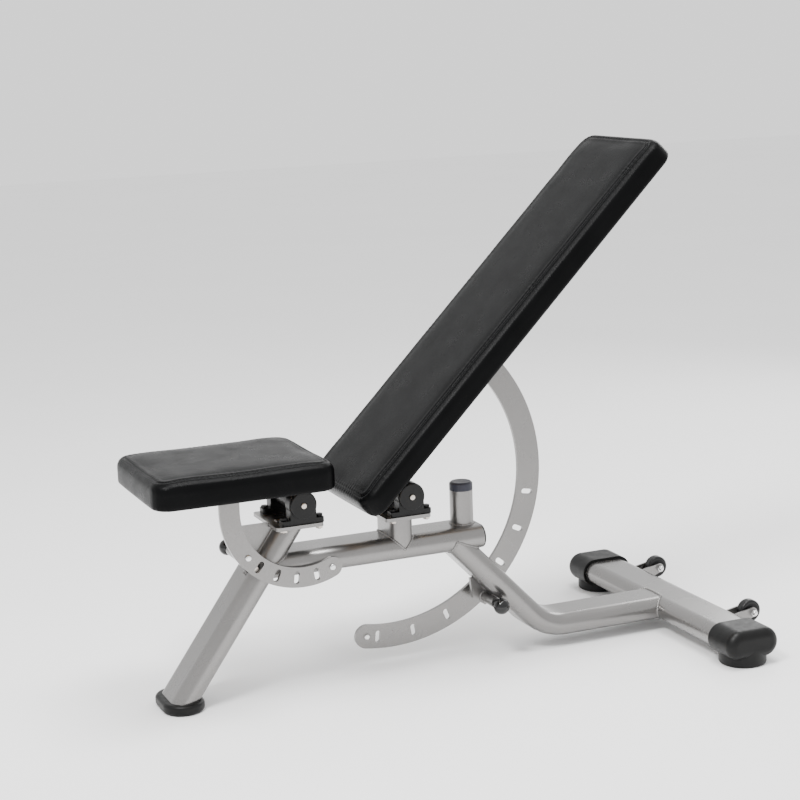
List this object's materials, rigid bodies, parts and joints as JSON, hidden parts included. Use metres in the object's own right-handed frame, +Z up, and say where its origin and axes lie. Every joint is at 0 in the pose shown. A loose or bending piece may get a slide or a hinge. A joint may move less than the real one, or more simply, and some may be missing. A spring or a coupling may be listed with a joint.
{
  "type": "adjustable weight bench",
  "caption": "Adjustable weight bench with a tilting seat and backrest on a steel frame, slotted arcs with pull pins, rubber feet and small transport wheels.",
  "frame": {"origin": "on the floor, under the centre of the bounding box", "axes": "+X from the seat end to the wheel end, +Y to the side of the backrest's arc, +Z up"},
  "size_m": [1.264, 0.69, 1.0475],
  "materials": {
    "frame_paint": "silver grey metallic powder coat",
    "support_black": "black powder coat",
    "rubber_black": "moulded black rubber, slightly worn sheen",
    "wheel_black": "smooth black wheel rubber",
    "plastic_black": "black plastic",
    "plastic_grey": "dark blue grey plastic",
    "bearing_black": "black satin bearing housing",
    "knob_black": "glossy black ball knob",
    "vinyl_black": "black upholstery vinyl with a fine leather grain and stitched seams",
    "plywood": "raw plywood",
    "zinc_steel": "zinc plated steel",
    "bright_nut": "bright plated steel",
    "spring_steel": "spring steel wire",
    "bronze": "sintered bronze"
  },
  "bodies": {
    "frame": {"back_bearings": "bearing_black", "back_hinge_plate": "frame_paint", "back_hinge_stub": "frame_paint", "back_pin_sleeve": "frame_paint", "beam_end_cap": "plastic_black", "crossbar": "frame_paint", "far_end_cap": "rubber_black", "front_foot_cap": "rubber_black", "front_leg": "frame_paint", "hinge_bolts": "support_black", "hinge_bushes": "bronze", "hinge_nuts": "zinc_steel", "main_beam": "frame_paint", "near_end_cap": "rubber_black", "pin_gussets": "frame_paint", "post": "frame_paint", "post_cap": "plastic_grey", "rear_leg": "frame_paint", "seat_bearings": "bearing_black", "seat_hinge_plate": "frame_paint", "seat_pin_sleeve": "frame_paint", "wheel_axles": "zinc_steel", "wheel_brackets": "frame_paint", "wheel_cap_nuts": "bright_nut"},
    "near_wheel": {"near_wheel_tyre": "wheel_black", "near_wheel_hub": "plastic_black"},
    "far_wheel": {"far_wheel_tyre": "wheel_black", "far_wheel_hub": "plastic_black"},
    "seat": {"seat_arc": "frame_paint", "seat_board": "plywood", "seat_board_bolts": "zinc_steel", "seat_hinge_discs": "bearing_black", "seat_hinge_screws": "zinc_steel", "seat_hub": "support_black", "seat_mounting_plates": "support_black", "seat_pad": "vinyl_black", "seat_rail": "support_black", "seat_rail_plugs": "plastic_black", "seat_shaft": "zinc_steel", "seat_stop_bolts": "bright_nut"},
    "back": {"back_arc": "frame_paint", "back_arc_bracket": "support_black", "back_board": "plywood", "back_board_bolts": "zinc_steel", "back_bumper": "rubber_black", "back_hinge_discs": "bearing_black", "back_hinge_screws": "zinc_steel", "back_hub": "support_black", "back_mounting_plates": "support_black", "back_pad": "vinyl_black", "back_rail": "support_black", "back_rail_plugs": "plastic_black", "back_shaft": "zinc_steel", "back_stop_bolt": "bright_nut"},
    "seat_pull_pin": {"seat_pin": "zinc_steel", "seat_pin_knob": "knob_black", "seat_pin_spring": "spring_steel"},
    "back_pull_pin": {"back_pin": "zinc_steel", "back_pin_knob": "knob_black", "back_pin_spring": "spring_steel"}
  },
  "joints": [
    {"name": "seat_tilt", "type": "hinge", "parent": "frame", "child": "seat", "pos_m": [-0.3211, 0, 0.3856], "axis": [0, 1, 0], "range_deg": [0, 49.2]},
    {"name": "back_tilt", "type": "hinge", "parent": "frame", "child": "back", "pos_m": [-0.0948, 0, 0.3734], "axis": [0, -1, 0], "range_deg": [-42.9, 42.9]},
    {"name": "seat_pin_slide", "type": "slide", "parent": "frame", "child": "seat_pull_pin", "axis": [0, -1, 0], "range_m": [0, 0.009], "deforming": ["seat_pin_spring"]},
    {"name": "back_pin_slide", "type": "slide", "parent": "frame", "child": "back_pull_pin", "axis": [0, 1, 0], "range_m": [0, 0.009], "deforming": ["back_pin_spring"]},
    {"name": "near_wheel_spin", "type": "hinge", "parent": "frame", "child": "near_wheel", "pos_m": [0.608, -0.188, 0.064], "axis": [0, 1, 0], "continuous": true},
    {"name": "far_wheel_spin", "type": "hinge", "parent": "frame", "child": "far_wheel", "pos_m": [0.608, 0.188, 0.064], "axis": [0, 1, 0], "continuous": true}
  ]
}
